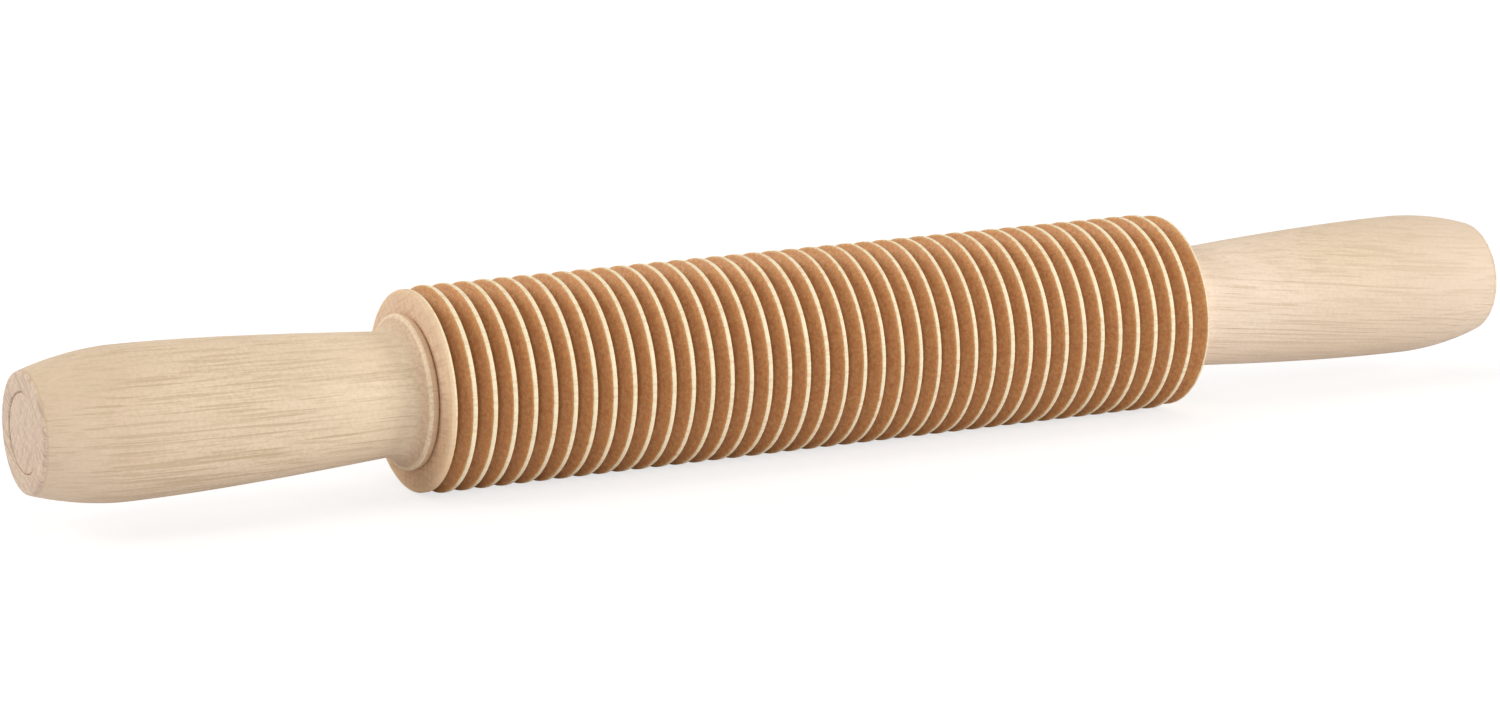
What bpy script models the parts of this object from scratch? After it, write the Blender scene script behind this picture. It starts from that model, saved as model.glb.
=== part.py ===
"""Pasta cutter rolling pin in turned beech.

A ridged roller spins on a dowel axle. The axle runs through both handles, which are glued on it, and the
flange at the foot of each handle keeps the roller in its place.

Units are metres and +Z is up. The axis runs along X, and the origin is in the middle of the roller.
"""

import math

import bmesh
import bpy
from mathutils import Matrix, Vector
from mathutils.geometry import interpolate_bezier

# Driving dimensions of the roller
ROLLER_DIAMETER = 0.0395
GROOVE_COUNT = 40
RIDGE_PITCH = 0.00414
CREST_LAND = 0.00095
GROOVE_ROOT = 0.0006
GROOVE_DEPTH = 0.0042
END_RIDGE_DIAMETER = 0.0386
RIM_ROUND = 0.0008
BORE_EASE = 0.0005

# Driving dimensions of the axle
AXLE_DIAMETER = 0.015
AXLE_CHAMFER = 0.0004

# Driving dimensions of a handle, whose lengths run outwards from the flange's face
HANDLE_LENGTH = 0.0763
FLANGE_DIAMETER = 0.0297
FLANGE_RIM = 0.0015
COVE_LENGTH = 0.0048
NECK_DIAMETER = 0.02415
NECK_REACH = 0.0172
NECK_SLOPE = 0.074
BULGE_DIAMETER = 0.0289
BULGE_TO_END = 0.0185
BULGE_REACH_IN = 0.0162
BULGE_REACH_OUT = 0.0049
END_DIAMETER = 0.0226
END_REACH = 0.003
END_SLOPE = 0.326
END_ROUND = 0.0008

# Clearances between the pieces
RUNNING_CLEARANCE = 0.0004
END_PLAY = 0.0004
GLUE_LINE = 0.0003

# Facets round each turned piece, and points along each curve of an outline
SIDES = 32
ROUND_STEPS = 3
COVE_STEPS = 5
SWELL_STEPS = 9
FALL_STEPS = 7

# Colours of the wood, as linear values
PALE_BEECH = (0.72, 0.55, 0.36)
CUT_BEECH = (0.50, 0.27, 0.12)
END_GRAIN_BEECH = (0.62, 0.47, 0.33)

# The facets touch the true circle, so that a piece measures its full size across its flats
ACROSS_FLATS = 1 / math.cos(math.pi / SIDES)


def clear_scene():
    for item in list(bpy.data.objects):
        bpy.data.objects.remove(item, do_unlink=True)


def wood(name, colour, roughness):
    material = bpy.data.materials.new(name)
    material.use_nodes = True
    shader = material.node_tree.nodes["Principled BSDF"]
    shader.inputs["Base Color"].default_value = (*colour, 1)
    shader.inputs["Roughness"].default_value = roughness
    shader.inputs["Metallic"].default_value = 0
    material.diffuse_color = (*colour, 1)
    return material


def bezier(start, start_handle, end_handle, end, steps):
    """Points (along, radius) on a cubic curve, without its first point."""
    corners = [Vector((*corner, 0)) for corner in (start, start_handle, end_handle, end)]
    return [(point.x, point.y) for point in interpolate_bezier(*corners, steps + 1)[1:]]


def quarter(centre, size, from_angle, steps):
    """Points on a quarter of an ellipse that turns clockwise from from_angle, both ends included."""
    turns = [from_angle - math.pi / 2 * step / steps for step in range(steps + 1)]
    return [(centre[0] + size[0] * math.cos(turn), centre[1] + size[1] * math.sin(turn)) for turn in turns]


def turned(name, outline, closed, material):
    """A turned piece along X. A closed outline leaves a bore, and an open one ends on the axis."""
    mesh = bpy.data.meshes.new(name)
    shape = bmesh.new()
    half_step = Matrix.Rotation(math.pi / SIDES, 3, "X")
    corners = [shape.verts.new(half_step @ Vector((along, radius * ACROSS_FLATS, 0))) for along, radius in outline]
    for first, second in zip(corners, corners[1:]):
        shape.edges.new((first, second))
    if closed:
        shape.edges.new((corners[-1], corners[0]))
    bmesh.ops.spin(
        shape,
        geom=shape.verts[:] + shape.edges[:],
        cent=(0, 0, 0),
        axis=(1, 0, 0),
        angle=2 * math.pi,
        steps=SIDES,
        use_merge=True,
    )
    bmesh.ops.remove_doubles(shape, verts=shape.verts[:], dist=1e-7)
    bmesh.ops.recalc_face_normals(shape, faces=shape.faces[:])
    shape.to_mesh(mesh)
    shape.free()
    mesh.materials.append(material)
    mesh.shade_smooth()
    mesh.set_sharp_from_angle(angle=math.radians(35))
    return mesh


def place(name, mesh, location=(0, 0, 0), turn=0.0, parent=None):
    item = bpy.data.objects.new(name, mesh)
    item.location = location
    item.rotation_euler = (0, 0, turn)
    item.parent = parent
    bpy.context.scene.collection.objects.link(item)
    return item


def roller_length():
    return GROOVE_COUNT * RIDGE_PITCH + CREST_LAND


def overall_length():
    return roller_length() + 2 * (END_PLAY + HANDLE_LENGTH)


def groove(start):
    """The four corners of one groove: its mouth's near edge, its narrow root and its mouth's far edge."""
    crest = ROLLER_DIAMETER / 2
    mouth = RIDGE_PITCH - CREST_LAND
    flank = (mouth - GROOVE_ROOT) / 2
    return [
        (start, crest),
        (start + flank, crest - GROOVE_DEPTH),
        (start + flank + GROOVE_ROOT, crest - GROOVE_DEPTH),
        (start + mouth, crest),
    ]


def roller_outline():
    """Left end, ridges and grooves, right end, and back along the bore. The two end ridges are sanded lower."""
    end_crest = END_RIDGE_DIAMETER / 2
    bore = AXLE_DIAMETER / 2 + RUNNING_CLEARANCE
    half = roller_length() / 2
    rim = min(RIM_ROUND, 0.9 * CREST_LAND)
    ridges = []
    for number in range(GROOVE_COUNT):
        ridges += groove(-half + CREST_LAND + number * RIDGE_PITCH)
    ridges[0] = (ridges[0][0], end_crest)
    ridges[-1] = (ridges[-1][0], end_crest)
    outline = [(-half, bore + BORE_EASE)]
    outline += quarter((-half + rim, end_crest - rim), (rim, rim), math.pi, ROUND_STEPS)
    outline += ridges
    outline += quarter((half - rim, end_crest - rim), (rim, rim), math.pi / 2, ROUND_STEPS)
    outline += [(half, bore + BORE_EASE), (half - BORE_EASE, bore), (-half + BORE_EASE, bore)]
    return outline


def axle_outline():
    radius = AXLE_DIAMETER / 2
    half = overall_length() / 2
    right = [(half - AXLE_CHAMFER, radius), (half, radius - AXLE_CHAMFER), (half, 0)]
    left = [(-along, radius) for along, radius in reversed(right)]
    return left + right


def handle_outline():
    """Flange, hollow cove, neck, swelling grip and softened end, then back along the bore."""
    bore = AXLE_DIAMETER / 2 + GLUE_LINE
    flange = FLANGE_DIAMETER / 2
    neck = (FLANGE_RIM + COVE_LENGTH, NECK_DIAMETER / 2)
    bulge = (HANDLE_LENGTH - BULGE_TO_END, BULGE_DIAMETER / 2)
    end = (HANDLE_LENGTH, END_DIAMETER / 2)
    lip = (end[0] - END_ROUND, end[1] + END_ROUND * END_SLOPE)
    outline = [(0, bore), (0, flange)]
    cove = quarter((neck[0], flange), (COVE_LENGTH, flange - neck[1]), -math.pi / 2, COVE_STEPS)
    outline += reversed(cove)
    outline += bezier(
        neck,
        (neck[0] + NECK_REACH, neck[1] + NECK_REACH * NECK_SLOPE),
        (bulge[0] - BULGE_REACH_IN, bulge[1]),
        bulge,
        SWELL_STEPS,
    )
    outline += bezier(
        bulge,
        (bulge[0] + BULGE_REACH_OUT, bulge[1]),
        (lip[0] - END_REACH, lip[1] + END_REACH * END_SLOPE),
        lip,
        FALL_STEPS,
    )
    outline += bezier(lip, end, end, (end[0], end[1] - END_ROUND), ROUND_STEPS)
    outline += [(HANDLE_LENGTH, bore)]
    return outline


def build():
    clear_scene()
    pale = wood("pale_beech", PALE_BEECH, 0.55)
    cut = wood("cut_beech", CUT_BEECH, 0.6)
    end_grain = wood("end_grain_beech", END_GRAIN_BEECH, 0.65)

    axle = place("axle", turned("axle", axle_outline(), False, end_grain))
    place("roller", turned("roller", roller_outline(), True, cut), parent=axle)

    handle = turned("handle", handle_outline(), True, pale)
    flange_face = roller_length() / 2 + END_PLAY
    place("right_handle", handle, location=(flange_face, 0, 0), parent=axle)
    place("left_handle", handle, location=(-flange_face, 0, 0), turn=math.pi, parent=axle)

    print(f"overall length {overall_length() * 1000:.1f} mm, roller {roller_length() * 1000:.1f} mm")


build()
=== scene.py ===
# %% [markdown]
# # A pasta cutter rolling pin in turned beech
#
# The pin has four pieces: a ridged roller, a dowel axle, and two handles glued on the axle's ends. The
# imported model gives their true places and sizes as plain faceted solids. This lesson turns a finer
# piece for each of them, gives every surface its own wood, and sets up the camera and the light of a
# plain studio.

# %% Load the frame
import math

import bpy
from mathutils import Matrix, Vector


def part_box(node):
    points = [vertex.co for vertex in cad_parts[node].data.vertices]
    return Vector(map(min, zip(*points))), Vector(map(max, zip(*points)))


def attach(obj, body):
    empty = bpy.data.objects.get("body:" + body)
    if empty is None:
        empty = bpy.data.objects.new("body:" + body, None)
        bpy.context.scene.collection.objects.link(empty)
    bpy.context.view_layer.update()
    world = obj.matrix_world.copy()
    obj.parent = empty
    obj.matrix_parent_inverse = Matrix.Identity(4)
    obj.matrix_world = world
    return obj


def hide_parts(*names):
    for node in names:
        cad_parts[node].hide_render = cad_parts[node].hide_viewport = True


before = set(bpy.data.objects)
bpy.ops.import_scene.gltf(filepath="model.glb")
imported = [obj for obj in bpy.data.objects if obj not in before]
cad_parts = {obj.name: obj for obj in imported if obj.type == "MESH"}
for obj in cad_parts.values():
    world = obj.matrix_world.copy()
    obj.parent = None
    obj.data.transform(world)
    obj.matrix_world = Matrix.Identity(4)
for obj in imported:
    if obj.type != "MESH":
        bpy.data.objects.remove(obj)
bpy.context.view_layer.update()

# %% [markdown]
# ## Sizes
#
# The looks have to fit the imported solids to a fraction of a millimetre. The sizes could be typed in
# again, but a box can be measured, so the radii and the ends are read from the boxes of the roller, the
# axle and a handle, and the looks follow the frame. What a box can't tell, such as a groove's depth or
# the curve of a grip, is written in metres where it is first needed.

# %% Sizes from the frame
MM_PER_METRE = 1000

roller_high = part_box("roller")[1]
axle_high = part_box("axle")[1]
grip_low, grip_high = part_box("right_handle")

ROLLER_RADIUS = roller_high.z
ROLLER_HALF = roller_high.x
AXLE_RADIUS = axle_high.z
AXLE_HALF = axle_high.x
FLANGE_FACE = grip_low.x
FLANGE_RADIUS = grip_high.z
HANDLE_LENGTH = grip_high.x - grip_low.x

print(f"the pin is {2 * AXLE_HALF * MM_PER_METRE:.2f} mm long")
print(f"the roller is {2 * ROLLER_RADIUS * MM_PER_METRE:.2f} mm across")

# %% [markdown]
# ## Camera
#
# The photograph was taken with a long lens from the left and a little above, so the left handle's end
# shows and the ridges hardly shrink towards the right. The camera could be pushed about by eye until it
# fits. Four values that can be measured in the picture are surer: how far it is turned from square on,
# how far it is lifted, how far away it stands, and where in the picture the roller's middle falls.

# %% Camera and lens
PICTURE_WIDTH = 1500
FOCAL_PIXELS = 4913
SENSOR_WIDTH = 36
CLIP_NEAR = 0.05
CLIP_FAR = 50

camera_data = bpy.data.cameras.new("camera")
camera = bpy.data.objects.new("camera", camera_data)
bpy.context.scene.collection.objects.link(camera)
bpy.context.scene.camera = camera
camera_data.sensor_width = SENSOR_WIDTH
camera_data.lens = FOCAL_PIXELS / PICTURE_WIDTH * SENSOR_WIDTH
camera_data.clip_start = CLIP_NEAR
camera_data.clip_end = CLIP_FAR
print(f"lens {camera_data.lens:.0f} mm")

# %% Where the camera stands
PICTURE_HEIGHT = 720
ROLLER_MIDDLE_PIXEL = (798.3, 348.9)
CAMERA_TURN = math.radians(27.82)
CAMERA_LIFT = math.radians(11.99)
CAMERA_DISTANCE = 0.9643

forward = Vector(
    (
        math.sin(CAMERA_TURN) * math.cos(CAMERA_LIFT),
        math.cos(CAMERA_TURN) * math.cos(CAMERA_LIFT),
        -math.sin(CAMERA_LIFT),
    )
)
right = Vector((math.cos(CAMERA_TURN), -math.sin(CAMERA_TURN), 0))
up = right.cross(forward)
across = (ROLLER_MIDDLE_PIXEL[0] - PICTURE_WIDTH / 2) / FOCAL_PIXELS * CAMERA_DISTANCE
above = (PICTURE_HEIGHT / 2 - ROLLER_MIDDLE_PIXEL[1]) / FOCAL_PIXELS * CAMERA_DISTANCE
camera.location = -(forward * CAMERA_DISTANCE + right * across + up * above)
camera.rotation_euler = forward.to_track_quat("-Z", "Y").to_euler()
print("camera at", tuple(round(v, 3) for v in camera.location))

# %% [markdown]
# ## Node helpers
#
# A finish is a small network of nodes. Adding and linking each node by hand takes four or five lines,
# so a few helpers keep the network readable: one adds a node and fills its inputs, either with a value
# or with another node's output, and the others do a sum, mix two colours, or turn one range of values
# into another.

# %% A material and its nodes
def new_material(name):
    """A material with an empty network, and that network."""
    material = bpy.data.materials.new(name)
    material.use_nodes = True
    material.node_tree.nodes.clear()
    return material, material.node_tree


def node(tree, kind, inputs, **settings):
    """Adds a node. inputs maps an input's name or number to a value or to another node's output."""
    made = tree.nodes.new(kind)
    for name, value in settings.items():
        setattr(made, name, value)
    for name, value in inputs.items():
        if isinstance(value, bpy.types.NodeSocket):
            tree.links.new(value, made.inputs[name])
        else:
            made.inputs[name].default_value = value
    return made


# %% Sums, mixes and ranges
MIX_FACTOR, MIX_FIRST, MIX_SECOND, MIX_RESULT = 0, 6, 7, 2


def sum_of(tree, operation, *values):
    """One sum of a Math node, such as MULTIPLY or SQRT."""
    made = node(tree, "ShaderNodeMath", dict(enumerate(values)), operation=operation)
    return made.outputs[0]


def distance(tree, first, second):
    """The straight distance that two distances at right angles make up."""
    squares = sum_of(tree, "MULTIPLY", first, first)
    squares = sum_of(tree, "MULTIPLY_ADD", second, second, squares)
    return sum_of(tree, "SQRT", squares)


def mixed(tree, factor, first, second, blend="MIX"):
    """Mixes two colours, which are four numbers or outputs."""
    made = node(
        tree,
        "ShaderNodeMix",
        {MIX_FACTOR: factor, MIX_FIRST: first, MIX_SECOND: second},
        data_type="RGBA",
        blend_type=blend,
    )
    return made.outputs[MIX_RESULT]


def remap(tree, value, low, high, to_low=0.0, to_high=1.0):
    """Turns the range from low to high softly into the range from to_low to to_high."""
    inputs = {"Value": value, "From Min": low, "From Max": high, "To Min": to_low, "To Max": to_high}
    return node(tree, "ShaderNodeMapRange", inputs, interpolation_type="SMOOTHSTEP").outputs["Result"]


# %% [markdown]
# ## Floor
#
# The pin lies on a plain white table. A brightly lit floor would look white too, but its light would
# wash out the wood. Here the camera's own rays see a grey floor that glows just enough to look white,
# and all other rays see plain white paint, so the light on the pin is that of an ordinary room. The
# floor keeps the pin's faint shadow. Its glow rises away from the pin, where the lamps reach less, so
# it stays white to its edge.

# %% Floor sheet
FLOOR_SIZE = 6

bpy.ops.object.select_all(action="DESELECT")
bpy.ops.mesh.primitive_plane_add(size=FLOOR_SIZE, location=(0, 0, -ROLLER_RADIUS))
floor = bpy.context.object
floor.name = "floor"
bpy.ops.object.transform_apply(location=True, rotation=True, scale=True)
print("floor", FLOOR_SIZE, "m wide at height", round(-ROLLER_RADIUS, 5))

# %% Floor paint
GLOW_RISES = (0.4, 1.6)
GLOW_STRENGTH = (0.71, 1.0)
FLOOR_PAINT = (0.87, 0.895, 0.965, 1)
FLOOR_SEEN = (0.42, 0.42, 0.42, 1)
WHITE = (1, 1, 1, 1)

material, tree = new_material("white_floor")
to_camera = node(tree, "ShaderNodeLightPath", {}).outputs["Is Camera Ray"]
paint = node(tree, "ShaderNodeBsdfDiffuse", {"Color": FLOOR_PAINT})
seen = node(tree, "ShaderNodeBsdfDiffuse", {"Color": FLOOR_SEEN})
place = node(tree, "ShaderNodeTexCoord", {}).outputs["Object"]
from_pin = node(tree, "ShaderNodeVectorMath", {0: place}, operation="LENGTH").outputs["Value"]
strength = remap(tree, from_pin, *GLOW_RISES, *GLOW_STRENGTH)
glow = node(tree, "ShaderNodeEmission", {"Color": WHITE, "Strength": strength})
glowing = node(tree, "ShaderNodeAddShader", {0: seen.outputs[0], 1: glow.outputs[0]})
chosen = node(tree, "ShaderNodeMixShader", {0: to_camera, 1: paint.outputs[0], 2: glowing.outputs[0]})
node(tree, "ShaderNodeOutputMaterial", {"Surface": chosen.outputs[0]})
floor.data.materials.append(material)
print(material.name, len(tree.nodes), "nodes")

# %% [markdown]
# ## Backdrop
#
# Behind the floor the photograph is plain white as well. A backdrop sheet could be modelled, but the
# world is simpler and has no edges. It looks white to the camera, in gloss and through glass, and for
# everything else it is the weak, soft light that comes from all sides of a white room.

# %% Backdrop
WORLD_STRENGTH = 0.299
WORLD_COLOUR = (1, 0.99, 0.975, 1)

world = bpy.data.worlds.new("studio")
bpy.context.scene.world = world
world.use_nodes = True
tree = world.node_tree
tree.nodes.clear()
light_path = node(tree, "ShaderNodeLightPath", {}).outputs
looked_at = sum_of(tree, "MAXIMUM", light_path["Is Camera Ray"], light_path["Is Glossy Ray"])
looked_at = sum_of(tree, "MAXIMUM", looked_at, light_path["Is Transmission Ray"])
around = node(tree, "ShaderNodeBackground", {"Color": WORLD_COLOUR, "Strength": WORLD_STRENGTH})
backdrop = node(tree, "ShaderNodeBackground", {"Color": WHITE, "Strength": 1.0})
chosen = node(tree, "ShaderNodeMixShader", {0: looked_at, 1: around.outputs[0], 2: backdrop.outputs[0]})
node(tree, "ShaderNodeOutputWorld", {"Surface": chosen.outputs[0]})
bpy.context.scene.view_settings.view_transform = "Standard"
print("world", world.name, "at strength", WORLD_STRENGTH)

# %% [markdown]
# ## Light
#
# In the photograph the grips are brightest a third of the way down from the top and shade softly to the
# underside, and the end face on the left is nearly as bright as they are. One large lamp can't do both.
# Five softboxes share the work: two in front, one high at the left, one behind at the left that reaches
# the end faces, and a weak, slightly warm one overhead.

# %% Lamps
PLAIN_LIGHT = (1, 1, 1)
WARM_LIGHT = (1, 0.96, 0.86)
SOFTBOXES = {
    "front_right": ((1.1, -1.0, 0.5), (0.8, 0.8), 11.9, PLAIN_LIGHT),
    "front": ((0.1, -1.5, 0.35), (1.2, 0.8), 4.7, PLAIN_LIGHT),
    "high_left": ((-1.2, 0.0, 0.95), (0.5, 0.5), 3.8, PLAIN_LIGHT),
    "behind_left": ((-1.0, 0.9, 0.8), (0.8, 0.8), 7.5, PLAIN_LIGHT),
    "overhead": ((0.0, 0.0, 1.5), (1.2, 1.2), 3.4, WARM_LIGHT),
}


def softbox(name, place, size, power, colour):
    """A rectangular lamp that faces the middle of the roller."""
    data = bpy.data.lights.new(name, "AREA")
    data.shape = "RECTANGLE"
    data.size, data.size_y = size
    data.energy = power
    data.color = colour
    lamp = bpy.data.objects.new(name, data)
    lamp.location = place
    lamp.rotation_euler = (-Vector(place)).to_track_quat("-Z", "Y").to_euler()
    bpy.context.scene.collection.objects.link(lamp)


for name, setting in SOFTBOXES.items():
    softbox(name, *setting)
print(len(SOFTBOXES), "softboxes")

# %% [markdown]
# ## Turning on Blender's lathe
#
# Every piece here was made on a lathe. A cylinder could be scaled ring by ring, but Spin is Blender's
# own lathe: half of the outline is drawn as a line of points above the axis, and Spin turns it once
# round. The line starts from a plane merged to a single point, and each further point is extruded from
# the last one, as it would be by hand. Spin leaves a seam of double points, which are merged, and then
# the faces are made to point outwards.

# %% Drawing an outline
START_SIZE = 0.001


def start_outline(name, along, radius):
    """One vertex in edit mode, at a distance along the axis and at a radius above it."""
    if bpy.context.mode != "OBJECT":
        bpy.ops.object.mode_set(mode="OBJECT")
    bpy.ops.object.select_all(action="DESELECT")
    bpy.ops.mesh.primitive_plane_add(size=START_SIZE, location=(0, 0, 0))
    piece = bpy.context.object
    piece.name = name
    piece.data.name = name
    bpy.ops.object.mode_set(mode="EDIT")
    bpy.ops.mesh.select_all(action="SELECT")
    bpy.ops.mesh.merge(type="CENTER")
    bpy.ops.transform.translate(value=(along, 0, radius))
    return piece


def draw(points):
    """Extrudes the outline's last vertex from the first point to each of the others in turn."""
    for last, point in zip(points, points[1:]):
        step = (point[0] - last[0], 0, point[1] - last[1])
        bpy.ops.mesh.extrude_vertices_move(TRANSFORM_OT_translate={"value": step})


# %% Turning it
SEGMENTS = 168
CLOSING_DISTANCE = 1e-7
SEAM_DISTANCE = 1e-6
SMOOTH_UP_TO = math.radians(40)


def turn_on_lathe(piece, closed):
    """Spins the outline once round the X axis and makes the result one clean, smooth surface."""
    bpy.ops.mesh.select_all(action="SELECT")
    if closed:
        bpy.ops.mesh.remove_doubles(threshold=CLOSING_DISTANCE)
        bpy.ops.mesh.select_all(action="SELECT")
    bpy.ops.mesh.spin(steps=SEGMENTS, angle=2 * math.pi, center=(0, 0, 0), axis=(1, 0, 0))
    bpy.ops.mesh.select_all(action="SELECT")
    bpy.ops.mesh.remove_doubles(threshold=SEAM_DISTANCE)
    bpy.ops.mesh.normals_make_consistent(inside=False)
    bpy.ops.mesh.select_all(action="DESELECT")
    bpy.ops.object.mode_set(mode="OBJECT")
    bpy.ops.object.shade_smooth_by_angle(angle=SMOOTH_UP_TO)
    print(piece.name, len(piece.data.polygons), "faces")
    return piece


def turned_piece(name, points, closed):
    """Draws an outline, a list of (along the axis, radius), and turns it."""
    piece = start_outline(name, *points[0])
    draw(points)
    return turn_on_lathe(piece, closed)


# %% Rounded corners and mirror images
QUARTER_TURN = math.pi / 2


def quarter(centre, size, from_angle, steps):
    """Points on a quarter ellipse that turns clockwise from from_angle."""
    turns = [from_angle - QUARTER_TURN * step / steps for step in range(steps + 1)]
    return [(centre[0] + size[0] * math.cos(turn), centre[1] + size[1] * math.sin(turn)) for turn in turns]


def mirrored(points):
    """The same points on the other half of the pin, in the other order."""
    return [(-along, radius) for along, radius in reversed(points)]


# %% [markdown]
# ## The groove
#
# The roller is the cutter: 41 thin ridges with flat crests, and between them 40 deep grooves that
# narrow to the root. Each groove could be cut out of a cylinder, but drawing it is quicker and cleaner.
# One side is enough, because the other is its mirror image. Its edge is eased by a fifth of a
# millimetre, because a freshly cut edge in beech is never sharp. The crests aren't all alike: the first
# is a quarter of a millimetre wider, the last is over half a millimetre narrower, and a run of them
# past the middle is a touch slimmer.

# %% Groove sizes
GROOVE_COUNT = 40
CREST_LAND = 0.00095
RIDGE_PITCH = (2 * ROLLER_HALF - CREST_LAND) / GROOVE_COUNT
GROOVE_ROOT = 0.0006
GROOVE_DEPTH = 0.0042
ROOT_ROUND = 0.00018
CREST_EASE = 0.0002
EASED_EDGE = ((1, 0), (0.5, 0.12), (0.1, 0.45))
FIRST_CREST_EXTRA = 0.00025
LAST_CREST_EXTRA = -0.0006
SLIM_CREST_EXTRA = -0.00006
SLIM_CRESTS = range(20, 29)

print(GROOVE_COUNT, f"grooves, one every {RIDGE_PITCH * MM_PER_METRE:.2f} mm")


# %% One side of a groove
def crest_extra(number):
    """How much further than most each side of a crest reaches over its groove."""
    if number == 0:
        return FIRST_CREST_EXTRA
    if number == GROOVE_COUNT:
        return LAST_CREST_EXTRA
    return SLIM_CREST_EXTRA if number in SLIM_CRESTS else 0


def flank_points(extra):
    """One side of a groove from its crest's edge down to the root, measured from a plain crest's edge."""
    flank = (RIDGE_PITCH - CREST_LAND - GROOVE_ROOT) / 2
    slope = flank / GROOVE_DEPTH
    edge = [(extra - back * CREST_EASE, -down * CREST_EASE) for back, down in EASED_EDGE]
    return edge + [
        (extra + slope * CREST_EASE, -CREST_EASE),
        (flank / 2, -GROOVE_DEPTH / 2),
        (flank - slope * ROOT_ROUND, ROOT_ROUND - GROOVE_DEPTH),
        (flank + ROOT_ROUND, -GROOVE_DEPTH),
    ]


# %% One groove
def groove_points(number):
    """The groove after the crest with this number, up to the next crest."""
    start = -ROLLER_HALF + CREST_LAND + number * RIDGE_PITCH
    end = start + RIDGE_PITCH - CREST_LAND
    near = flank_points(crest_extra(number))
    far = flank_points(crest_extra(number + 1))
    points = [(start + along, ROLLER_RADIUS + deep) for along, deep in near]
    return points + [(end - along, ROLLER_RADIUS + deep) for along, deep in reversed(far)]


# %% [markdown]
# ## The roller
#
# The whole roller is one outline: its bore, the left end face with a rounded rim, the 40 grooves, the
# right rim and face, and back to the bore. It could be built from 41 discs, but the real one is a
# single turned piece, and so is this. Both end ridges are a little lower than the rest, and the last
# one has the sharper rim. The end faces stand a hair further out than the frame's, so that the gap to
# each flange is as fine as the real one.

# %% Roller
BORE_CLEARANCE = 0.0004
BORE_RADIUS = AXLE_RADIUS + BORE_CLEARANCE
END_RIDGE_RADIUS = 0.0193
END_RIDGE_DROP = ROLLER_RADIUS - END_RIDGE_RADIUS
FACE_PROUD = 0.0002
EDGE_POINTS = len(EASED_EDGE) + 1
LEFT_RIM_ROUND = 0.0005
RIGHT_RIM_ROUND = 0.0003
ROUND_STEPS = 6


def rim_points(ease):
    """The left end face's rounded rim."""
    centre = (-ROLLER_HALF - FACE_PROUD + ease, END_RIDGE_RADIUS - ease)
    return quarter(centre, (ease, ease), math.pi, ROUND_STEPS)


def roller_points():
    """The roller's closed outline, with the outer edges of the end ridges' crests brought down."""
    grooves = []
    for number in range(GROOVE_COUNT):
        grooves += groove_points(number)
    for number in range(EDGE_POINTS):
        for index in (number, -1 - number):
            along, radius = grooves[index]
            grooves[index] = (along, radius - END_RIDGE_DROP)
    face = ROLLER_HALF + FACE_PROUD
    left = [(-face, BORE_RADIUS)] + rim_points(LEFT_RIM_ROUND)
    right = mirrored(rim_points(RIGHT_RIM_ROUND)) + [(face, BORE_RADIUS)]
    return left + grooves + right + left[:1]


roller = turned_piece("turned_roller", roller_points(), closed=True)

# %% [markdown]
# ## The axle
#
# The axle is a plain dowel, and only its two ends show, each sanded a hair below a handle's end face,
# which gives the dark line on its far side. A cylinder with a bevel would do as well. Turning it like
# the other pieces keeps its faces in step with the bores round it. Its outline runs from the axis out
# to the rim, along the whole length and back to the axis, with the sawn edges rubbed round.

# %% Axle
DOWEL_RECESS = 0.0002
AXLE_EASE = 0.00025
EASE_STEPS = 4


def axle_points():
    """The axle's outline, open along the axis itself."""
    end = AXLE_HALF - DOWEL_RECESS
    centre = (end - AXLE_EASE, AXLE_RADIUS - AXLE_EASE)
    rim = quarter(centre, (AXLE_EASE, AXLE_EASE), QUARTER_TURN, EASE_STEPS)
    return [(-end, 0)] + mirrored(rim) + rim + [(end, 0)]


axle = turned_piece("dowel_axle", axle_points(), closed=False)

# %% [markdown]
# ## The curve of a grip
#
# A handle's grip swells from the neck and falls away again in two long, even curves. They could be read
# off point by point, but a turner works to a template, and a Bezier curve is one: two ends, and two
# pull points that set how each end leaves. Each curve is sampled into points, so that the outline can
# be drawn in one go.

# %% Template curve
def bezier(start, start_handle, end_handle, end, steps):
    """Points on a cubic curve, without its first one."""
    corners = (start, start_handle, end_handle, end)
    found = []
    for step in range(1, steps + 1):
        t = step / steps
        weights = ((1 - t) ** 3, 3 * t * (1 - t) ** 2, 3 * t * t * (1 - t), t**3)
        found.append(tuple(sum(w * corner[i] for w, corner in zip(weights, corners)) for i in (0, 1)))
    return found


# %% [markdown]
# ## The handles
#
# Each handle is a slim flange against the roller, a hollow cove, a neck, the grip, and a flat end with
# a softened edge. Flange, cove and grip could be separate rings, but they are one piece of wood, so
# they are one outline. It starts and ends in the bore, at the flange. The two handles were turned by
# eye, so the right one's grip is a fraction of a millimetre slimmer.

# %% Flange and cove
FLANGE_RIM = 0.0018
FLANGE_EASE = 0.00045
BACK_EASE = (0.0009, 0.0005)
COVE_LENGTH = 0.0045
COVE_STEPS = 14


def flange_points(neck):
    """The flange's rounded back and front, and the cove down to the neck."""
    back_centre = (BACK_EASE[0], FLANGE_RADIUS - BACK_EASE[1])
    front_centre = (FLANGE_RIM - FLANGE_EASE, FLANGE_RADIUS - FLANGE_EASE)
    back = quarter(back_centre, BACK_EASE, math.pi, ROUND_STEPS)
    front = quarter(front_centre, (FLANGE_EASE, FLANGE_EASE), QUARTER_TURN, EASE_STEPS)
    cove_size = (COVE_LENGTH, FLANGE_RADIUS - neck[1])
    cove = quarter((neck[0], FLANGE_RADIUS), cove_size, -QUARTER_TURN, COVE_STEPS)
    return back + front + [point for point in reversed(cove) if point[1] < FLANGE_RADIUS - FLANGE_EASE]


# %% Swell
NECK_REACH = 0.0172
NECK_SLOPE = 0.074
BULGE_REACH_IN = 0.0162
SWELL_STEPS = 28


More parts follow.
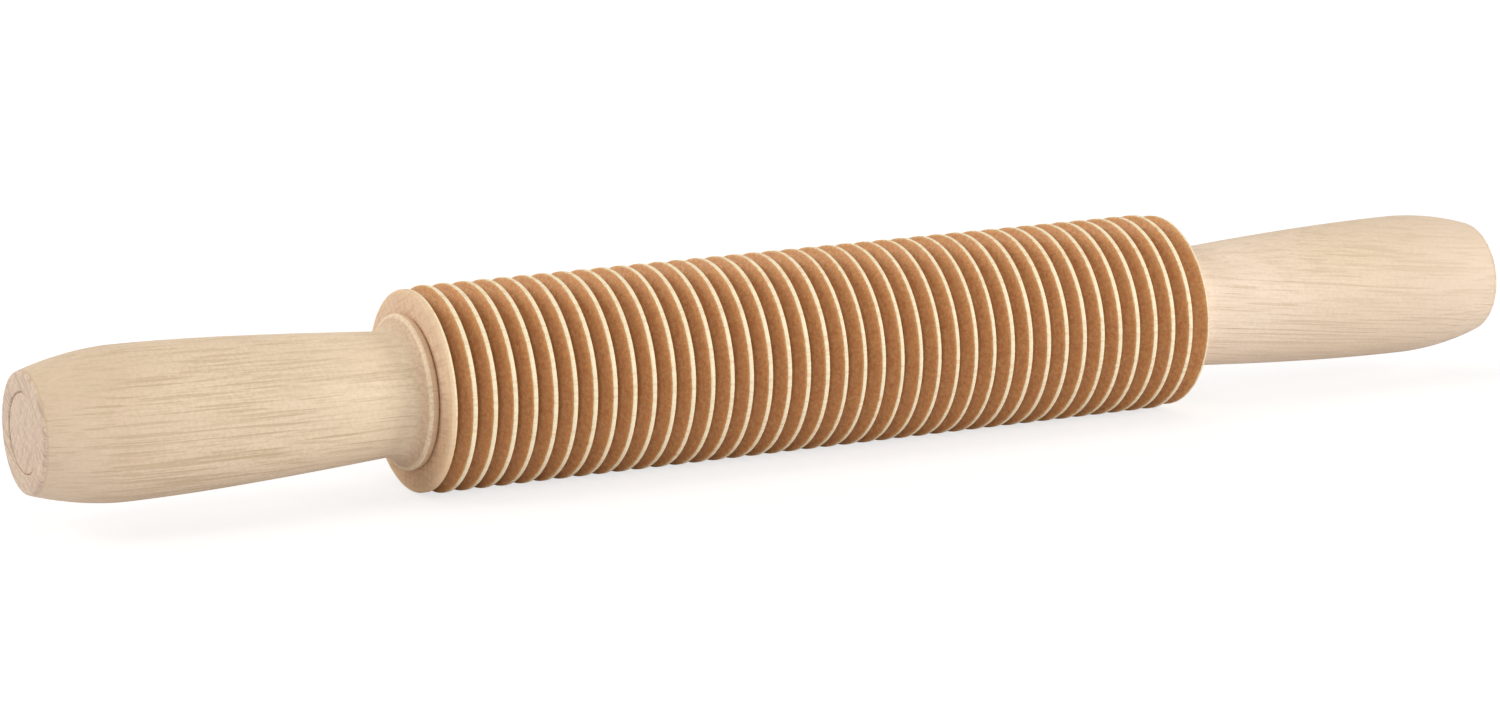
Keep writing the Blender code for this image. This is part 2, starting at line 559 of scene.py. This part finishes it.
def swell_points(neck, bulge):
    """The long rise from the neck to the grip's thickest place."""
    leave_neck = (neck[0] + NECK_REACH, neck[1] + NECK_REACH * NECK_SLOPE)
    reach_bulge = (bulge[0] - BULGE_REACH_IN, bulge[1])
    return bezier(neck, leave_neck, reach_bulge, bulge, SWELL_STEPS)


# %% Fall
BULGE_REACH_OUT = 0.0065
FALL_STEPS = 18
END_RADIUS = 0.0113
END_REACH = 0.0045
END_SLOPE = 0.326
END_ROUND = 0.0008


def fall_points(bulge):
    """The fall from the thickest place to the flat end, with its softened edge."""
    end = (HANDLE_LENGTH, END_RADIUS)
    lip = (end[0] - END_ROUND, end[1] + END_ROUND * END_SLOPE)
    leave_bulge = (bulge[0] + BULGE_REACH_OUT, bulge[1])
    reach_lip = (lip[0] - END_REACH, lip[1] + END_REACH * END_SLOPE)
    fall = bezier(bulge, leave_bulge, reach_lip, lip, FALL_STEPS)
    return fall + bezier(lip, end, end, (end[0], end[1] - END_ROUND), ROUND_STEPS)


# %% Whole outline
GLUE_LINE = 0.00012
BORE_EASE = 0.0002
BULGE_TO_END = 0.0185


def grip_points(radii):
    """The handle's outline from the bore at the flange's face to the bore at the end, and back."""
    bore = AXLE_RADIUS + GLUE_LINE
    neck = (FLANGE_RIM + COVE_LENGTH, radii["neck"])
    bulge = (HANDLE_LENGTH - BULGE_TO_END, radii["bulge"])
    outside = flange_points(neck) + swell_points(neck, bulge) + fall_points(bulge)
    bore_edge = [(HANDLE_LENGTH, bore + BORE_EASE), (HANDLE_LENGTH - BORE_EASE, bore)]
    return [(0, bore)] + outside + bore_edge + [(0, bore)]


# %% Handles
LEFT_RADII = {"neck": 0.01197, "bulge": 0.01450}
RIGHT_RADII = {"neck": 0.01207, "bulge": 0.01428}


def make_handle(name, side, radii):
    """side is 1 for the right handle and -1 for the left."""
    points = [(side * (FLANGE_FACE + along), radius) for along, radius in grip_points(radii)]
    return turned_piece(name, points, closed=True)


left_handle = make_handle("left_grip", -1, LEFT_RADII)
right_handle = make_handle("right_grip", 1, RIGHT_RADII)

# %% [markdown]
# ## A place in the blank
#
# Wood is a solid material, so a pattern in three dimensions serves every face, cut lengthways or
# across. A picture wrapped round the pin would show the same grain on the side and on the end, which no
# wood does. Each piece came from its own blank, so each gets its own stretch of grain, its own pith and
# its own turn. Rings are distances from the pith, and rays run out from it, so both need a place's
# distance and direction from the pith line. The fibres may run a little askew to the axis.

# %% Noise with a grain
def grain_noise(tree, parts, per_metre, detail):
    """Noise over a place given as three outputs, each with its own number of features per metre."""
    scaled = [sum_of(tree, "MULTIPLY", part, scale) for part, scale in zip(parts, per_metre)]
    place = node(tree, "ShaderNodeCombineXYZ", dict(enumerate(scaled))).outputs[0]
    return node(tree, "ShaderNodeTexNoise", {"Vector": place, "Scale": 1, "Detail": detail}).outputs[0]


# %% Places in the wood
SWAY = 0.003
SWAY_GRAIN = (14, 40, 40)


def wood_places(tree, shift, pith_distance, turn, skew):
    """A place on the piece, in its blank, along its fibres and from its pith, three outputs each."""
    place = node(tree, "ShaderNodeTexCoord", {}).outputs["Object"]
    moved = {"Vector": place, "Location": (shift, 0, 0), "Rotation": (turn, 0, 0)}
    blank = node(tree, "ShaderNodeMapping", moved).outputs[0]
    on_piece = node(tree, "ShaderNodeSeparateXYZ", {0: place}).outputs
    in_blank = node(tree, "ShaderNodeSeparateXYZ", {0: blank}).outputs
    along, side, up = in_blank
    askew = sum_of(tree, "MULTIPLY_ADD", on_piece[0], skew, on_piece[2])

    above = sum_of(tree, "ADD", up, pith_distance)
    sway = sum_of(tree, "MULTIPLY_ADD", grain_noise(tree, in_blank, SWAY_GRAIN, detail=1), SWAY, -SWAY / 2)
    from_pith = sum_of(tree, "ADD", distance(tree, above, side), sway)
    around = sum_of(tree, "MULTIPLY", sum_of(tree, "ARCTAN2", side, above), pith_distance)
    return {
        "piece": on_piece,
        "blank": in_blank,
        "fibres": (along, on_piece[1], askew),
        "pith": (along, from_pith, around),
    }


# %% [markdown]
# ## Beech
#
# Beech is pale and even. Its growth rings are faint, its fibres show as fine broken streaks, and its
# rays show as short dark dashes on the sides and as thin lines on the ends. Each could be painted line
# by line, but noise stretched in one direction looks the same and never repeats. The streaks lie in
# thin level sheets that run straight through the solid, so the pin's front cuts them edge-on, and a
# swelling or tapering skin cuts them into dashes. Each pattern is a row in a table: where it is read,
# its features per metre, its detail, and the two values between which it rises from 0 to 1. Only the
# rings are different: they repeat with the distance from the pith.

# %% Wood pattern
RING_SPACING = 0.0021
RING_SHARPNESS = 3
RING_GRAIN = (150, 150, 150)
PATTERNS = {
    "streaks": ("fibres", (26, 420, 1800), 1, 0.55, 0.64),
    "fine": ("fibres", (60, 900, 2700), 1, 0.48, 0.64),
    "rays": ("pith", (330, 170, 2300), 1, 0.50, 0.66),
    "mottle": ("blank", (1300, 1500, 1500), 3, 0.32, 0.68),
    "clouds": ("fibres", (30, 90, 90), 2, 0.35, 0.65),
}


def wood_pattern(tree, shift, pith_distance, turn, skew):
    """The patterns by name, each an output from 0 to 1, with the place that they are read at."""
    places = wood_places(tree, shift, pith_distance, turn, skew)
    wood = {"place": places["piece"], "blank": places["blank"]}
    for name, (where, per_metre, detail, low, high) in PATTERNS.items():
        wood[name] = remap(tree, grain_noise(tree, places[where], per_metre, detail), low, high)
    from_pith = places["pith"][1]
    uneven = grain_noise(tree, (from_pith, from_pith, from_pith), RING_GRAIN, detail=2)
    year = sum_of(tree, "MULTIPLY_ADD", from_pith, 1 / RING_SPACING, uneven)
    wood["rings"] = sum_of(tree, "POWER", sum_of(tree, "FRACT", year), RING_SHARPNESS)
    return wood


print("beech:", ", ".join(PATTERNS), "and rings")

# %% [markdown]
# ## From pattern to finish
#
# Bare sanded wood has three things to it: a colour, a dull gloss, and a skin that is a little rough to
# the finger. A finish adds up some of the patterns, each with its own weight, once for the colour and
# once for the bumps. The bumps are only hundredths of a millimetre deep, far too fine for a mesh, so
# they are left to the shader.

# %% Weighing the patterns
def weighed(tree, wood, weights):
    """The sum of the named patterns, each times its weight."""
    total = 0.0
    for name, weight in weights.items():
        total = sum_of(tree, "MULTIPLY_ADD", wood[name], weight, total)
    return total


# %% Bare wood
WOOD_GLOSS = 0.3


def finish_wood(tree, colour, height, roughness, bump_depth):
    """Ends the network with a bare wooden surface."""
    bump = node(tree, "ShaderNodeBump", {"Height": height, "Distance": bump_depth, "Strength": 1.0})
    shader = node(
        tree,
        "ShaderNodeBsdfPrincipled",
        {
            "Base Color": colour,
            "Roughness": roughness,
            "Normal": bump.outputs[0],
            "Specular IOR Level": WOOD_GLOSS,
        },
    )
    node(tree, "ShaderNodeOutputMaterial", {"Surface": shader.outputs[0]})


# %% [markdown]
# ## Long grain on the grip
#
# Along the grip the fibres run lengthways and show as fine streaks, most on the front, which cuts them
# edge-on. The foot next to the roller is paler and its streaks are softer. The tip is a little darker
# and calmer. The grip could have one even pattern, but these slow changes are what make it look turned
# from one real stick.

# %% Grip colour
FOOT = (FLANGE_FACE + 0.008, FLANGE_FACE + 0.040)
FOOT_FADE = 0.4
TIP = (FLANGE_FACE + 0.045, FLANGE_FACE + 0.062)
TIP_CALMS = (FLANGE_FACE + 0.060, FLANGE_FACE + 0.072)
TIP_FADE = 0.55
CLOUD_SHARE = 0.3


def grip_colour(tree, wood, tint, along):
    """Streaked long grain, with a pale foot and a calm tip."""
    depth = weighed(tree, wood, {"streaks": 0.8, "fine": 0.5, "rings": 0.1, "mottle": 0.4})
    foot = remap(tree, along, *FOOT, 1, 0)
    depth = sum_of(tree, "MULTIPLY", depth, sum_of(tree, "MULTIPLY_ADD", foot, -FOOT_FADE, 1))
    calm = remap(tree, along, *TIP_CALMS, 1, 1 - TIP_FADE)
    depth = sum_of(tree, "MULTIPLY", depth, calm)
    pale = mixed(tree, foot, tint["pale"], tint["foot"])
    pale = mixed(tree, remap(tree, along, *TIP), pale, tint["tip"])
    grip = mixed(tree, depth, pale, tint["deep"])
    return mixed(tree, sum_of(tree, "MULTIPLY", wood["clouds"], CLOUD_SHARE), grip, tint["cloud"])


# %% [markdown]
# ## The edges of a handle
#
# Two small edges catch the eye. The flange is a bead, darker than the grip, which is painted shade from
# the roller's end face beside it, and its front edge carries a painted highlight, in a broken line. The
# sawn end has a thin darker lip where the saw left it. Each could be a thin ring of its own, but they
# are only colour, so they are bands along the axis.

# %% Edge colours
FLANGE_FRONT = FLANGE_FACE + FLANGE_RIM
FLANGE_SHADE_FADE = 0.0003
FLANGE_SHADE_SHARE = 0.7
EDGE_HIGHLIGHT_BAND = (FLANGE_FRONT - 0.0002, 0.0002, 0.00025)
HIGHLIGHT_UNBROKEN = 1.2
LIP_BAND = (AXLE_HALF - 0.00075, 0.00008, 0.0002)
LIP_SHARE = 0.55


def band(tree, value, middle, half_width, fade):
    """1 within half_width of middle, falling to 0 over fade."""
    away = sum_of(tree, "ABSOLUTE", sum_of(tree, "SUBTRACT", value, middle))
    return remap(tree, away, half_width, half_width + fade, 1, 0)


def edge_colours(tree, wood, tint, along, colour):
    """The handle's colour with painted shade on the flange, a painted highlight on its front edge, and the
    lip at the sawn end.
    """
    # Painted shade: the flange darkens next to the roller's end face.
    flange_shade = remap(tree, along, FLANGE_FRONT, FLANGE_FRONT + FLANGE_SHADE_FADE, 1, 0)
    colour = mixed(tree, sum_of(tree, "MULTIPLY", flange_shade, FLANGE_SHADE_SHARE), colour, tint["cove_deep"])
    gaps = weighed(tree, wood, {"fine": 0.3, "mottle": 0.55})
    broken = sum_of(tree, "MULTIPLY_ADD", gaps, -1, HIGHLIGHT_UNBROKEN)
    # Painted highlight: a pale broken line along the flange's front edge.
    edge = band(tree, along, *EDGE_HIGHLIGHT_BAND)
    colour = mixed(tree, sum_of(tree, "MULTIPLY", edge, broken), colour, tint["edge"])
    lip = band(tree, along, *LIP_BAND)
    return mixed(tree, sum_of(tree, "MULTIPLY", lip, LIP_SHARE), colour, tint["deep"])


# %% [markdown]
# ## Handle finish
#
# The handles are sanded and left bare. Where the lathe's tool cut across the fibres, in the cove, the
# wood drinks in more light and is a little darker and redder than the grip. The sawn ends are sanded
# end grain, pinker and with the rays as thin lines. Three materials would need faces picked out for
# each. One is simpler: the surface's own direction tells the cove from the grip, the place along the
# axis tells the ends, and the material fades between the three.

# %% Where each cut shows
FACING_ROLLER = (0.2, 0.75)
FACING_FRONT = (0.3, 0.85)
STREAKS_ON_TOP = 0.35
SAWN_END = (AXLE_HALF - 0.0008, AXLE_HALF - 0.0005)
HANDLE_ROUGHNESS = (0.52, 0.62)
HANDLE_BUMP = 0.00005


# %% Handle finish
def handle_wood(name, tint, shift, pith_distance, turn, skew, ray_weight=1.0):
    """Bare beech for a handle, or for the dowel, cut from its own place in its own blank."""
    material, tree = new_material(name)
    wood = wood_pattern(tree, shift, pith_distance, turn, skew)
    normal = node(tree, "ShaderNodeTexCoord", {}).outputs["Normal"]
    facing = node(tree, "ShaderNodeSeparateXYZ", {0: normal}).outputs
    cross_cut = remap(tree, sum_of(tree, "ABSOLUTE", facing[0]), *FACING_ROLLER)
    edge_on = remap(tree, sum_of(tree, "ABSOLUTE", facing[1]), *FACING_FRONT, STREAKS_ON_TOP, 1)
    wood["streaks"] = sum_of(tree, "MULTIPLY", wood["streaks"], edge_on)
    along = sum_of(tree, "ABSOLUTE", wood["place"][0])

    grip = grip_colour(tree, wood, tint, along)
    depth = weighed(tree, wood, {"fine": 0.35, "mottle": 0.8})
    cove = mixed(tree, depth, tint["cove_pale"], tint["cove_deep"])
    depth = weighed(tree, wood, {"rays": ray_weight, "rings": 0.3, "mottle": 0.5})
    end = mixed(tree, depth, tint["end_pale"], tint["end_deep"])
    colour = mixed(tree, cross_cut, grip, cove)
    colour = mixed(tree, remap(tree, along, *SAWN_END), colour, end)
    colour = edge_colours(tree, wood, tint, along, colour)

    height = weighed(tree, wood, {"streaks": -1.0, "fine": -0.25, "mottle": 0.35})
    roughness = remap(tree, wood["clouds"], 0, 1, *HANDLE_ROUGHNESS)
    finish_wood(tree, colour, height, roughness, HANDLE_BUMP)
    print(name, len(tree.nodes), "nodes")
    return material


# %% [markdown]
# ## Colours and blanks
#
# The two handles came from different sticks: the right one is a little paler at its foot and its
# streaks are softer and run askew. The dowel is a third stick, and only its end grain shows. One set of
# colours would do for all three, but then the pin would look cast and not made. Each colour is the
# wood's own, without light, in linear red, green and blue, except the edge colour, which is a painted
# highlight.

# %% Handle colours
LEFT_TINT = {
    "pale": (0.86, 0.68, 0.485, 1),
    "foot": (0.905, 0.725, 0.515, 1),
    "tip": (0.81, 0.62, 0.44, 1),
    # the edge colour is a painted highlight on the flange's front edge
    "edge": (0.97, 0.775, 0.545, 1),
    "deep": (0.655, 0.485, 0.315, 1),
    "cloud": (0.775, 0.595, 0.42, 1),
    "cove_pale": (0.80, 0.58, 0.392, 1),
    "cove_deep": (0.67, 0.468, 0.302, 1),
    "end_pale": (0.85, 0.66, 0.485, 1),
    "end_deep": (0.64, 0.46, 0.335, 1),
}
RIGHT_TINT = {
    "pale": (0.845, 0.665, 0.48, 1),
    "foot": (0.925, 0.755, 0.59, 1),
    "tip": (0.835, 0.66, 0.495, 1),
    # the edge colour is a painted highlight on the flange's front edge
    "edge": (0.92, 0.75, 0.56, 1),
    "deep": (0.72, 0.55, 0.385, 1),
    "cloud": (0.81, 0.64, 0.475, 1),
    "cove_pale": (0.78, 0.60, 0.43, 1),
    "cove_deep": (0.70, 0.52, 0.37, 1),
    "end_pale": (0.86, 0.675, 0.505, 1),
    "end_deep": (0.675, 0.50, 0.36, 1),
}

# %% Three blanks
LEFT_BLANK = {"shift": 0.47, "pith_distance": 0.062, "turn": 0.98, "skew": 0.02}
RIGHT_BLANK = {"shift": 0.97, "pith_distance": 0.055, "turn": 0.7, "skew": 0.115}
DOWEL_BLANK = {"shift": 1.53, "pith_distance": 0.035, "turn": 2.6, "skew": 0.0}

left_handle.data.materials.append(handle_wood("left_beech", LEFT_TINT, **LEFT_BLANK))
right_handle.data.materials.append(handle_wood("right_beech", RIGHT_TINT, **RIGHT_BLANK))
axle.data.materials.append(handle_wood("dowel_beech", LEFT_TINT, **DOWEL_BLANK, ray_weight=0.5))

# %% [markdown]
# ## Groove walls
#
# The cutter left the groove walls burnished to an orange brown. They start with a brighter orange
# shoulder just under the crest, which is partly a painted highlight on the eased edge. The stronger
# orange near the crest and the paler colour further down are partly painted warm light, as the upper
# grooves show mostly their shallow part. The walls turn dark at the root, which is painted shade, and
# carry redder patches, a fine mottle and the thin circles that the cutter scratched. Each wall could be
# coloured by itself, but depth below the crest serves all 80 of them at once.

# %% Wall colours
# The shoulder colour is partly a painted highlight, and the root colour is painted shade.
SHOULDER_TONE_AND_HIGHLIGHT = (0.88, 0.505, 0.215, 1)
WALL_NEAR = (0.80, 0.41, 0.155, 1)
WALL_DEEP = (0.785, 0.505, 0.26, 1)
WALL_RED = (0.725, 0.39, 0.188, 1)
WALL_ROOT_SHADE = (0.46, 0.26, 0.115, 1)
TOOL_MARK = (0.74, 0.66, 0.58, 1)
RED_GRAIN = (450, 800, 800)
RED_PATCHES = (0.35, 0.65)
SHOULDER_HIGHLIGHT_ENDS = (0.0001, 0.0007)
NEAR_TO_DEEP = (0.0006, 0.0021)
DEEP_TO_ROOT_SHADE = (0.0026, 0.0040)
RED_SHARE = 0.75
SCRATCHES = (0.35, 0.65)
SCRATCH_SHARE = 0.4
MARK_SHARE = 0.7


# %% Wall colour by depth
def wall_colour(tree, wood, depth, ragged, scratched):
    """The wall's colour at a depth below the crest, with the crest's ragged border and the scratches."""
    # Partly painted warm light: the wall is a stronger orange near the crest and paler further down.
    wall = mixed(tree, remap(tree, depth, *NEAR_TO_DEEP), WALL_NEAR, WALL_DEEP)
    patches = remap(tree, grain_noise(tree, wood["blank"], RED_GRAIN, detail=1), *RED_PATCHES)
    wall = mixed(tree, sum_of(tree, "MULTIPLY", patches, RED_SHARE), wall, WALL_RED)
    # Painted shade: the wall darkens towards the root.
    wall = mixed(tree, remap(tree, depth, *DEEP_TO_ROOT_SHADE), wall, WALL_ROOT_SHADE)
    # Partly painted highlight: a brighter orange shoulder just under the crest.
    wall = mixed(tree, remap(tree, ragged, *SHOULDER_HIGHLIGHT_ENDS), SHOULDER_TONE_AND_HIGHLIGHT, wall)
    marks = remap(tree, scratched, *SCRATCHES, 0, SCRATCH_SHARE)
    marks = sum_of(tree, "ADD", marks, weighed(tree, wood, {"mottle": 0.9, "fine": 0.3, "rings": 0.15}))
    return mixed(tree, sum_of(tree, "MULTIPLY", marks, MARK_SHARE), wall, TOOL_MARK, "MULTIPLY")


# %% [markdown]
# ## The roller's end faces
#
# The end faces are sanded end grain, pinkish and pale. They are warmer and darker on the side that lies
# lowest as the pin rests, which is painted shade, and creamier towards the rim. On the left the end
# grain's colour reaches over the first crest and leaves only a thin cream line at its edge, most so on
# that shaded side. On the right it stops at the face. The faces could be a material of their own, but
# then it couldn't fade into the crest, so the place along the axis chooses it.

# %% End face colours
FACE_PALE = (0.92, 0.675, 0.46, 1)
FACE_DEEP = (0.77, 0.525, 0.345, 1)
FACE_LOWER_SHADE = (0.89, 0.82, 0.72, 1)
FACE_RIM = (0.90, 0.65, 0.40, 1)
LOWER_SHADE_SIDE = (0.006, -0.014)
SHADE_REACH = 0.0004
RIM_BAND = (END_RIDGE_RADIUS - 0.0018, END_RIDGE_RADIUS - 0.0003)
RIM_SHARE = 0.6
LEFT_FACE = (0.00095 - ROLLER_HALF, 0.00055 - ROLLER_HALF)
RIGHT_FACE = (ROLLER_HALF - 0.0001, ROLLER_HALF + 0.0001)


# %% End face by place
def end_face(tree, wood, from_axis):
    """The end face's colour, and how much of it shows at a place, from 0 to 1."""
    along, _, height = wood["place"]
    tone = weighed(tree, wood, {"rings": 0.4, "rays": 0.8, "mottle": 0.5, "fine": 0.2})
    face = mixed(tree, tone, FACE_PALE, FACE_DEEP)
    # Painted shade: the face turns darker and warmer towards its lower side.
    lower_shade = remap(tree, height, *LOWER_SHADE_SIDE)
    face = mixed(tree, lower_shade, face, FACE_LOWER_SHADE, "MULTIPLY")
    rim = remap(tree, from_axis, *RIM_BAND)
    face = mixed(tree, sum_of(tree, "MULTIPLY", rim, RIM_SHARE), face, FACE_RIM)
    # On the shaded side the end colour reaches further over the first crest.
    border = sum_of(tree, "MULTIPLY_ADD", lower_shade, -SHADE_REACH, along)
    left = remap(tree, border, *LEFT_FACE)
    right = remap(tree, along, *RIGHT_FACE)
    return face, sum_of(tree, "MAXIMUM", left, right)


# %% [markdown]
# ## Roller finish
#
# The crests were sanded after the grooves were cut, so they are clean and cream. Faces could be picked
# out for them, but the border between crest and wall is slightly ragged, as cut fibres leave it, and no
# line of faces is. So the distance from the axis tells crest from wall, with a little noise added. The
# two end ridges are lower, so their crests are looked for lower down.

# %% Crest and scratch values
CREST_PALE = (1.0, 0.88, 0.61, 1)
CREST_DEEP = (0.90, 0.71, 0.46, 1)
CREST_BORDER = (0.00002, 0.00012)
CHIP_GRAIN = (300, 900, 900)
CHIP_SIZE = 0.00022
END_RIDGE_STARTS = ROLLER_HALF - 1.5 * CREST_LAND
SCRATCH_GRAIN = (5200, 60, 60)
SCRATCH_HEIGHT = 0.6
ROLLER_ROUGHNESS = (0.5, 0.62)
ROLLER_BUMP = 0.00004


# %% Roller finish
def roller_wood(shift, pith_distance, turn, skew):
    """Cream crests, burnished groove walls with painted shade at the root, and pale end faces with painted
    shade on their lower side.
    """
    material, tree = new_material("roller_beech")
    wood = wood_pattern(tree, shift, pith_distance, turn, skew)
    along, side, up = wood["place"]
    from_axis = distance(tree, side, up)
    end_ridge = sum_of(tree, "GREATER_THAN", sum_of(tree, "ABSOLUTE", along), END_RIDGE_STARTS)
    to_crest = sum_of(tree, "MULTIPLY_ADD", end_ridge, END_RIDGE_DROP, from_axis)
    depth = sum_of(tree, "SUBTRACT", ROLLER_RADIUS, to_crest)
    chips = grain_noise(tree, wood["place"], CHIP_GRAIN, detail=3)
    ragged = sum_of(tree, "MULTIPLY_ADD", chips, CHIP_SIZE, sum_of(tree, "SUBTRACT", depth, CHIP_SIZE / 2))
    scratched = grain_noise(tree, (from_axis, side, up), SCRATCH_GRAIN, detail=2)

    tone = weighed(tree, wood, {"streaks": 0.7, "fine": 0.2, "mottle": 0.3})
    land = mixed(tree, tone, CREST_PALE, CREST_DEEP)
    wall = wall_colour(tree, wood, depth, ragged, scratched)
    colour = mixed(tree, remap(tree, ragged, *CREST_BORDER, 1, 0), wall, land)
    face, at_end = end_face(tree, wood, from_axis)
    colour = mixed(tree, at_end, colour, face)

    height = weighed(tree, wood, {"streaks": -0.5, "mottle": 0.5})
    height = sum_of(tree, "MULTIPLY_ADD", scratched, SCRATCH_HEIGHT, height)
    roughness = remap(tree, wood["clouds"], 0, 1, *ROLLER_ROUGHNESS)
    finish_wood(tree, colour, height, roughness, ROLLER_BUMP)
    print(material.name, len(tree.nodes), "nodes")
    return material


# %% The roller's blank
ROLLER_BLANK = {"shift": 2.11, "pith_distance": 0.070, "turn": -1.31, "skew": 0.0}

roller.data.materials.append(roller_wood(**ROLLER_BLANK))

# %% [markdown]
# ## Joining the frame
#
# On the real pin the handles and the axle are glued into one body, and the roller turns on it. Each
# turned piece could be laid over its faceted solid, but then both would show, so it stands in for that
# solid and moves with that solid's body.

# %% Bodies
for piece, body, cad_node, slot in (
    (roller, "roller", "roller", "cut_beech"),
    (axle, "handles", "axle", "end_grain_beech"),
    (left_handle, "handles", "left_handle", "pale_beech"),
    (right_handle, "handles", "right_handle", "pale_beech"),
):
    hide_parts(cad_node)
    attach(piece, body)
